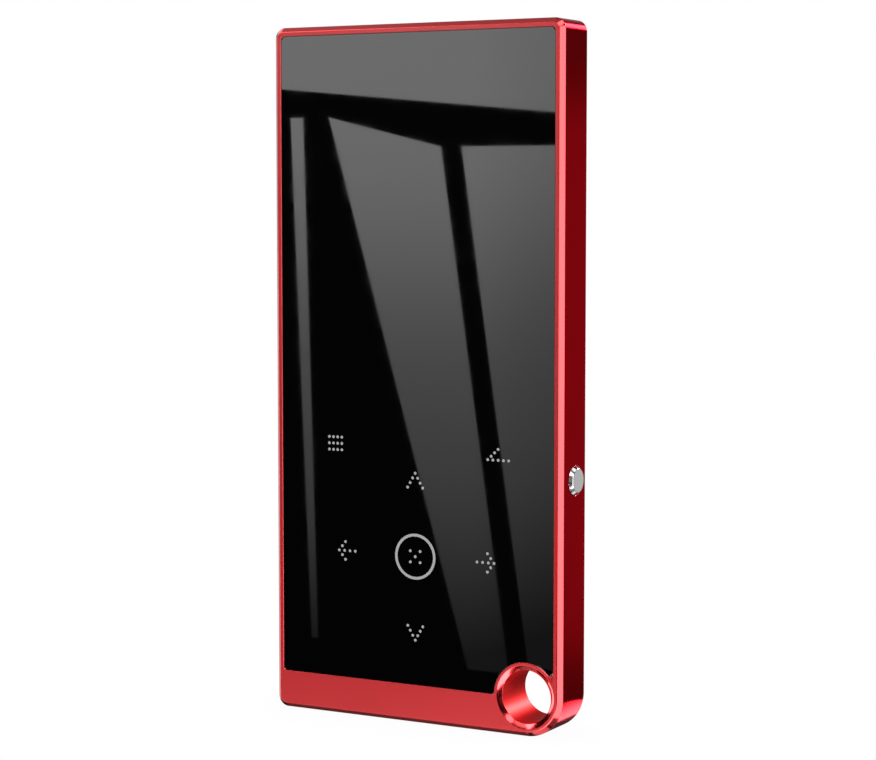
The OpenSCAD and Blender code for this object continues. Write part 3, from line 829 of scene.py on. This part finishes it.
def mesh_cloth():
    """Fine woven cloth: two sets of threads, with painted shade where they dip."""
    material, tree, shader = new_material("mesh_cloth")
    coords = tree.nodes.new("ShaderNodeTexCoord")
    threads = []
    for direction in ("X", "Z"):
        wave = tree.nodes.new("ShaderNodeTexWave")
        wave.bands_direction = direction
        wave.inputs["Scale"].default_value = 2600
        wave.inputs["Distortion"].default_value = 0.4
        tree.links.new(coords.outputs["Object"], wave.inputs["Vector"])
        threads.append(wave.outputs["Fac"])
    height = arithmetic(tree, "MAXIMUM", threads[0], threads[1])
    # painted shade: the colour goes dark where the threads dip
    weave_painted_shade = two_tone(tree, height, (0.01, 0.01, 0.01), (0.09, 0.09, 0.09))
    tree.links.new(weave_painted_shade, shader.inputs["Base Color"])
    tree.links.new(spread(tree, noise(tree, 6000), 0.6, 0.8), shader.inputs["Roughness"])
    bump(tree, shader, height, 0.8, 0.00003)
    return material


def black_wire():
    return surface(
        "black_wire", (0.01, 0.01, 0.01), (0.025, 0.025, 0.025), (0.3, 0.45), 0.0, 5000, 0.1, 0.000005,
    )


def red_wire():
    return surface(
        "red_wire", (0.42, 0.006, 0.006), (0.55, 0.012, 0.012), (0.3, 0.45), 0.0, 5000, 0.1, 0.000005,
    )


def battery_foil():
    """Laminated pouch foil with soft creases."""
    return surface(
        "battery_foil", (0.52, 0.53, 0.55), (0.64, 0.65, 0.67), (0.25, 0.4), 1.0, 350, 0.5, 0.00008,
    )


def tracks(name, dark, light, rough, scale, relief):
    """A film or board whose tracks show as a faint maze of straight runs."""
    material, tree, shader = new_material(name)
    coords = tree.nodes.new("ShaderNodeTexCoord")
    cells = tree.nodes.new("ShaderNodeTexVoronoi")
    cells.distance = "CHEBYCHEV"
    cells.inputs["Scale"].default_value = scale
    tree.links.new(coords.outputs["Object"], cells.inputs["Vector"])
    height = cells.outputs["Distance"]
    tree.links.new(two_tone(tree, height, dark, light), shader.inputs["Base Color"])
    tree.links.new(spread(tree, noise(tree, 4000), *rough), shader.inputs["Roughness"])
    bump(tree, shader, height, relief, 0.00002)
    return material


MAKERS = (
    anodised_satin, anodised_polished, anodised_side, anodised_bore, polished_metal, black_glass,
    symbol_ink, black_foam, clear_film, amber_film, display_glass, white_plastic,
    ivory_plastic, clear_plastic, sheet_steel, screw_steel, circuit_board, chip_plastic,
    ceramic, black_plastic, gold_plate, diaphragm_film, mesh_cloth, black_wire,
    red_wire, battery_foil,
)
materials = {make.__name__: make() for make in MAKERS}


def paint(piece, *names):
    """Gives the piece these materials, in the order of its faces' material indices."""
    if piece.data.materials:
        piece.data.materials.clear()
    for name in names:
        piece.data.materials.append(materials[name])


# ---------------------------------------------------------------- pieces
body_shell = build_body()
finish_surface(body_shell)
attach(body_shell, BODY)
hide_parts("frame")

glass = build_plate("glass_plate", GLASS_FRONT, GLASS_BACK, 0.01, 0.03)
finish_surface(glass)
paint(glass, "black_glass")
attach(glass, BODY)
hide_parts("front_glass")

back_plate = build_back_cover()
finish_surface(back_plate)
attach(back_plate, BODY)
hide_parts("back_cover")

button_cap = build_button()
finish_surface(button_cap)
paint(button_cap, "polished_metal")
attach(button_cap, "power_button")
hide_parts("power_button")

spring = build_spring()
finish_surface(spring)
paint(spring, "screw_steel")
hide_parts("card_slider_spring")
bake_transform(spring)

REDRAWN = ("frame", "front_glass", "back_cover", "power_button", "card_slider_spring")
for part in frame["record"]["subparts"]:
    if part["node"] not in REDRAWN:
        paint(frame["nodes"][part["node"]], part["material_slot"])


# ---------------------------------------------------------------- studio
def emission(name, colour, strength):
    material = bpy.data.materials.new(name)
    material.use_nodes = True
    tree = material.node_tree
    tree.nodes.clear()
    out = tree.nodes.new("ShaderNodeOutputMaterial")
    glow = tree.nodes.new("ShaderNodeEmission")
    glow.inputs["Color"].default_value = (*colour, 1)
    glow.inputs["Strength"].default_value = strength
    tree.links.new(glow.outputs["Emission"], out.inputs["Surface"])
    return material, tree, glow


def make_world():
    """White behind the object; dark around it, so that only the studio's lights show in the metal."""
    world = bpy.data.worlds.new("studio")
    bpy.context.scene.world = world
    world.use_nodes = True
    tree = world.node_tree
    tree.nodes.clear()
    out = tree.nodes.new("ShaderNodeOutputWorld")
    seen = tree.nodes.new("ShaderNodeBackground")
    seen.inputs["Color"].default_value = (1, 1, 1, 1)
    around = tree.nodes.new("ShaderNodeBackground")
    around.inputs["Color"].default_value = (0.005, 0.005, 0.005, 1)
    path = tree.nodes.new("ShaderNodeLightPath")
    mix = tree.nodes.new("ShaderNodeMixShader")
    tree.links.new(path.outputs["Is Camera Ray"], mix.inputs["Fac"])
    tree.links.new(around.outputs["Background"], mix.inputs[1])
    tree.links.new(seen.outputs["Background"], mix.inputs[2])
    tree.links.new(mix.outputs["Shader"], out.inputs["Surface"])


def make_floor():
    """A plain white glowing floor with a painted contact shadow, darker where the player stands on it."""
    bm = bmesh.new()
    bmesh.ops.create_grid(bm, x_segments=1, y_segments=1, size=3.0)
    floor = to_object(bm, "floor")
    material, tree, glow = emission("floor_white", (1, 1, 1), 1.0)
    # painted shadow: ambient occlusion darkens the floor's glow around the player's base
    painted_contact_shadow = tree.nodes.new("ShaderNodeAmbientOcclusion")
    painted_contact_shadow.samples = 8
    painted_contact_shadow.inputs["Distance"].default_value = 0.012
    tone = tree.nodes.new("ShaderNodeMapRange")
    tone.inputs["To Min"].default_value = 0.96
    tree.links.new(painted_contact_shadow.outputs["AO"], tone.inputs["Value"])
    tree.links.new(tone.outputs["Result"], glow.inputs["Color"])
    floor.data.materials.append(material)
    floor.visible_glossy = False
    floor.visible_diffuse = False
    floor.visible_shadow = False


AIM = Vector((0.0, 0.0, 0.046))


def softbox(name, azimuth, elevation, wide, tall, radiance, distance):
    """An even area light facing the player; azimuth is from the front to the right, in degrees."""
    turn, rise = math.radians(azimuth), math.radians(elevation)
    way = Vector((math.sin(turn) * math.cos(rise), -math.cos(turn) * math.cos(rise), math.sin(rise)))
    data = bpy.data.lights.new(name, "AREA")
    data.shape = "RECTANGLE"
    data.size = 2 * distance * math.tan(math.radians(wide / 2))
    data.size_y = 2 * distance * math.tan(math.radians(tall / 2))
    data.energy = radiance * math.pi * data.size * data.size_y
    light = bpy.data.objects.new(name, data)
    bpy.context.scene.collection.objects.link(light)
    light.location = AIM + way * distance
    light.rotation_euler = way.to_track_quat("Z", "Y").to_euler()
    light.visible_camera = False
    return light


def near_card(light, target, spread):
    """Brings a small light close to one corner and narrows its beam, so that nothing else catches it."""
    light.location += Vector(target) - AIM
    light.data.spread = math.radians(spread)


# Plain straight-sided soft panels in front of the player: the corners of each, in
# millimetres on the glass, where its reflection falls for the camera.
PANELS = (
    ((-22, 84), (22, 80), (22, 98), (-22, 98)),
    ((17, 8), (22, 8), (22, 76), (7, 76)),
    ((8, 8), (14, 8), (4, 76), (-13, 80)),
    ((-16, 10), (-15, 10), (-17, 80), (-19, 80)),
)

GLASS_PLANE = GLASS_FRONT * MM
CARD_Y = -0.45
MIRROR_Y = 2 * GLASS_PLANE - camera.location.y
CARD_SCALE = (MIRROR_Y - CARD_Y) / (MIRROR_Y - GLASS_PLANE)


def on_card(x, z):
    """Where on the card plane the camera sees, mirrored, the point (x, z) of the glass."""
    return (
        camera.location.x + (x * MM - camera.location.x) * CARD_SCALE,
        camera.location.z + (z * MM - camera.location.z) * CARD_SCALE,
    )


def reflector_glow():
    """Bright at the top, fading downwards, and sooner at the right, as a large lamp above would light it."""
    material, tree, glow = emission("reflector", (1, 1, 1), 1.0)
    coords = tree.nodes.new("ShaderNodeTexCoord")
    parts = tree.nodes.new("ShaderNodeSeparateXYZ")
    tree.links.new(coords.outputs["Object"], parts.inputs["Vector"])
    left, right = on_card(8, 0)[0], on_card(20, 0)[0]
    bottom, top = on_card(0, 8)[1], on_card(0, 92)[1]
    sink = ramp(tree, parts.outputs["X"], left, right, [(0, 0), (1, 1)])
    drop = arithmetic(tree, "MULTIPLY", sink, 7 * MM * CARD_SCALE)
    height = arithmetic(tree, "SUBTRACT", parts.outputs["Z"], drop)
    rise = ramp(tree, height, bottom, top, [(0, 0), (1, 1), (0.25, 0.3), (0.5, 0.4), (0.75, 1)])
    fall = ramp(tree, parts.outputs["X"], left, right, [(0, 1), (1, 0.82)])
    tree.links.new(arithmetic(tree, "MULTIPLY", rise, fall), glow.inputs["Color"])
    glow.inputs["Strength"].default_value = 1.84
    return material


def make_panels():
    material = reflector_glow()
    for number, corners in enumerate(PANELS):
        bm = bmesh.new()
        loop = []
        for x, z in corners:
            card_x, card_z = on_card(x, z)
            loop.append(bm.verts.new((card_x, CARD_Y, card_z)))
        bm.faces.new(loop)
        card = to_object(bm, f"soft_panel_{number}")
        card.data.materials.append(material)
        card.visible_camera = False
        card.visible_diffuse = False
        card.visible_shadow = False


# Area lights: name, azimuth, elevation, width and height in degrees, radiance, distance in metres.
LAMPS = (
    ("right_strip", 66, -11, 18, 78, 4.3, 0.6),
    ("right_low", 54, -61, 34, 18, 0.25, 0.6),
    ("right_fill", 104, -5, 40, 60, 0.5, 0.6),
    ("top_fill", -145, 58, 60, 24, 0.15, 0.6),
    ("right_corner", 46, 52, 30, 34, 4.2, 0.6),
    ("right_fade", 44, 5, 20, 29, 0.15, 0.6),
    ("side_fill", 154, -4.4, 30, 20, 0.47, 0.6),
    ("side_soft", 154, -4.4, 36, 50, 0.13, 0.6),
    ("back_top", 159, 20, 16, 14, 32.0, 2.0),
    ("back_left", -151, 5, 40, 30, 0.35, 0.6),
    ("back_low", -163, -27, 26, 24, 0.08, 0.6),
    ("chin_low", -30, -30, 40, 22, 1.5, 0.6),
    ("rim_left", -56, -4, 20, 30, 1.5, 0.6),
    ("rim_right", 2, 5, 36, 29, 0.8, 0.6),
    ("rim_top", -29, 18, 30, 12, 1.1, 0.6),
    ("top_bevel", -80, 66, 30, 22, 0.4, 0.6),
    ("overhead", -9, 76, 30, 24, 0.4, 0.6),
    ("left", -90, -17, 16, 34, 5.0, 0.6),
    ("left_back", -119, -5, 30, 34, 0.6, 0.6),
    ("left_corner", -106, 28, 22, 44, 1.4, 0.6),
    ("below", -80, -61, 30, 22, 0.5, 0.6),
    ("below_back", 140, -55, 40, 26, 0.8, 0.6),
    ("floor_glow", 0, -84, 26, 26, 1.1, 0.6),
    ("chamfer_low", 11, -43, 40, 36, 8.0, 0.6),
    ("chamfer_high", -53, 39, 26, 14, 8.0, 0.6),
    ("chamfer_middle", -18, 44, 28, 12, 2.2, 0.6),
    ("chamfer_right", 14, 32, 18, 15, 5.0, 0.6),
    ("over_right", 127, 51, 30, 24, 1.2, 0.6),
)


def make_lights():
    for lamp in LAMPS:
        softbox(*lamp)
    near_card(softbox("corner_card", 165, -25, 34, 34, 0.6, 0.010), (0.021, 0.0, 0.0027), 50)
    near_card(softbox("top_card", -165, 20, 40, 26, 0.07, 0.025), (0.0206, 0.0, 0.0915), 70)


bpy.context.scene.view_settings.view_transform = "Standard"
make_world()
make_floor()
make_panels()
make_lights()
